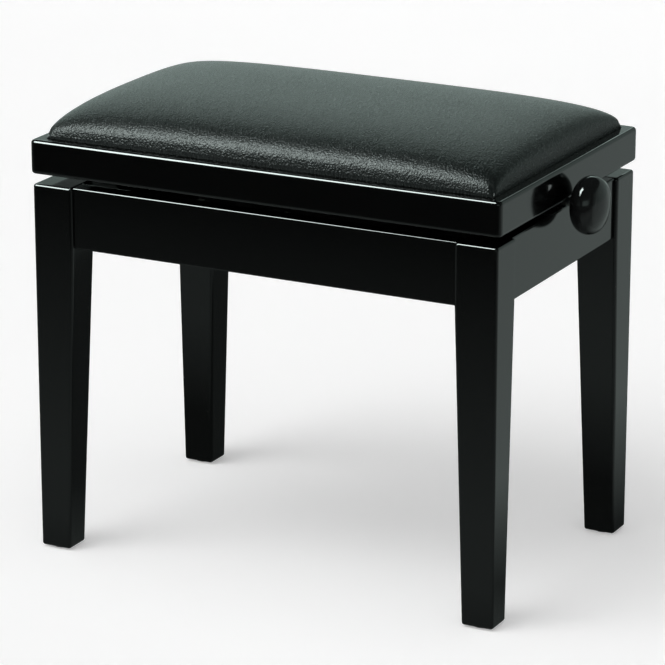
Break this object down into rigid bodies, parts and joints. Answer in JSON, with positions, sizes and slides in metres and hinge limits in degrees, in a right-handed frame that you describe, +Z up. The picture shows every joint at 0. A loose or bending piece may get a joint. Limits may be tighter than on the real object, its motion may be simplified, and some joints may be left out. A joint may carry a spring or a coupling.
{
  "type": "piano stool",
  "caption": "Height-adjustable piano stool with a crowned padded seat, gloss black frame and tapered legs, raised by a scissor lift with a side knob on a cross spindle.",
  "frame": {"origin": "On the floor, midway between the four feet.", "axes": "+X to the right, towards the knob; +Y to the back; +Z up. The seat is at its lowest setting."},
  "size_m": [0.5905, 0.35, 0.4998],
  "materials": {
    "lacquer": "black high-gloss lacquer on hardwood",
    "bare_wood": "plain beech, unfinished",
    "stained_wood": "beech, stained black",
    "panel_board": "black-faced hardboard, matt",
    "plywood": "birch plywood, sanded",
    "leatherette": "black pebble-grained leatherette, satin",
    "foam": "open-cell upholstery foam",
    "felt": "pressed felt",
    "knob_plastic": "polished black",
    "bronze": "sintered bronze",
    "nylon": "natural nylon",
    "plate_steel": "steel strip and angle, black powder coat",
    "turned_steel": "bright turned steel, lightly greased",
    "fastener_steel": "zinc-plated"
  },
  "bodies": {
    "base": {"leg_front_right": "lacquer", "leg_front_left": "lacquer", "leg_back_right": "lacquer", "leg_back_left": "lacquer", "apron_front": "lacquer", "apron_back": "lacquer", "apron_right": "lacquer", "apron_left": "lacquer", "corner_block_front_right": "stained_wood", "corner_block_front_left": "stained_wood", "corner_block_back_right": "stained_wood", "corner_block_back_left": "stained_wood", "lower_rail_front": "plate_steel", "lower_rail_back": "plate_steel", "apron_dowels": "bare_wood", "leg_bolts": "fastener_steel", "foot_glides": "felt", "lower_rail_screws": "fastener_steel", "dust_panel": "panel_board", "dust_panel_screws": "fastener_steel", "dust_panel_washers": "fastener_steel"},
    "seat": {"seat_rail_front": "lacquer", "seat_rail_back": "lacquer", "seat_rail_left": "lacquer", "seat_rail_right": "lacquer", "mitre_dowels": "bare_wood", "seat_board": "plywood", "seat_foam": "foam", "seat_cover": "leatherette", "seat_board_screws": "fastener_steel", "upper_rail_front": "plate_steel", "upper_rail_back": "plate_steel", "upper_rail_screws": "fastener_steel", "thrust_bracket": "plate_steel", "end_bracket": "plate_steel", "thrust_bush": "bronze", "end_bush": "bronze", "bracket_screws": "fastener_steel"},
    "inner_scissor": {"inner_arm_front": "plate_steel", "inner_arm_back": "plate_steel", "upper_pivot_rod": "turned_steel", "lower_slide_rod": "turned_steel", "lower_roller_front": "nylon", "lower_roller_back": "nylon", "rod_spacers": "turned_steel", "inner_rod_clips": "fastener_steel"},
    "outer_scissor": {"outer_arm_front": "plate_steel", "outer_arm_back": "plate_steel", "lower_pivot_rod": "turned_steel", "centre_pins": "turned_steel", "outer_rod_clips": "fastener_steel"},
    "nut_carrier": {"nut_bar": "turned_steel", "upper_roller_front": "nylon", "upper_roller_back": "nylon", "nut_bar_clips": "fastener_steel"},
    "spindle_and_knob": {"spindle": "turned_steel", "spindle_collar": "turned_steel", "collar_screw": "fastener_steel", "knob": "knob_plastic"}
  },
  "joints": [
    {"name": "seat_lift", "type": "slide", "parent": "base", "child": "seat", "axis": [0, 0, 1], "range_m": [0, 0.095]},
    {"name": "inner_pivot", "type": "hinge", "parent": "seat", "child": "inner_scissor", "pos_m": [-0.165, 0, 0.4171], "axis": [0, 1, 0], "range_deg": [0, 17.41]},
    {"name": "centre_pivot", "type": "hinge", "parent": "inner_scissor", "child": "outer_scissor", "pos_m": [-0.002, 0, 0.3898], "axis": [0, -1, 0], "range_deg": [0, 34.81]},
    {"name": "nut_bar_pivot", "type": "hinge", "parent": "outer_scissor", "child": "nut_carrier", "pos_m": [0.161, 0, 0.4171], "axis": [0, 1, 0], "range_deg": [0, 17.41]},
    {"name": "knob_turn", "type": "hinge", "parent": "seat", "child": "spindle_and_knob", "pos_m": [0.25, 0, 0.4171], "axis": [1, 0, 0], "range_deg": [0, 3750.21]}
  ],
  "couplings": [
    {"joint": "inner_pivot", "follows": "seat_lift", "rad_per_m": 3.1971},
    {"joint": "centre_pivot", "follows": "seat_lift", "rad_per_m": 6.3942},
    {"joint": "nut_bar_pivot", "follows": "seat_lift", "rad_per_m": 3.1971},
    {"joint": "knob_turn", "follows": "seat_lift", "rad_per_m": 688.97}
  ]
}
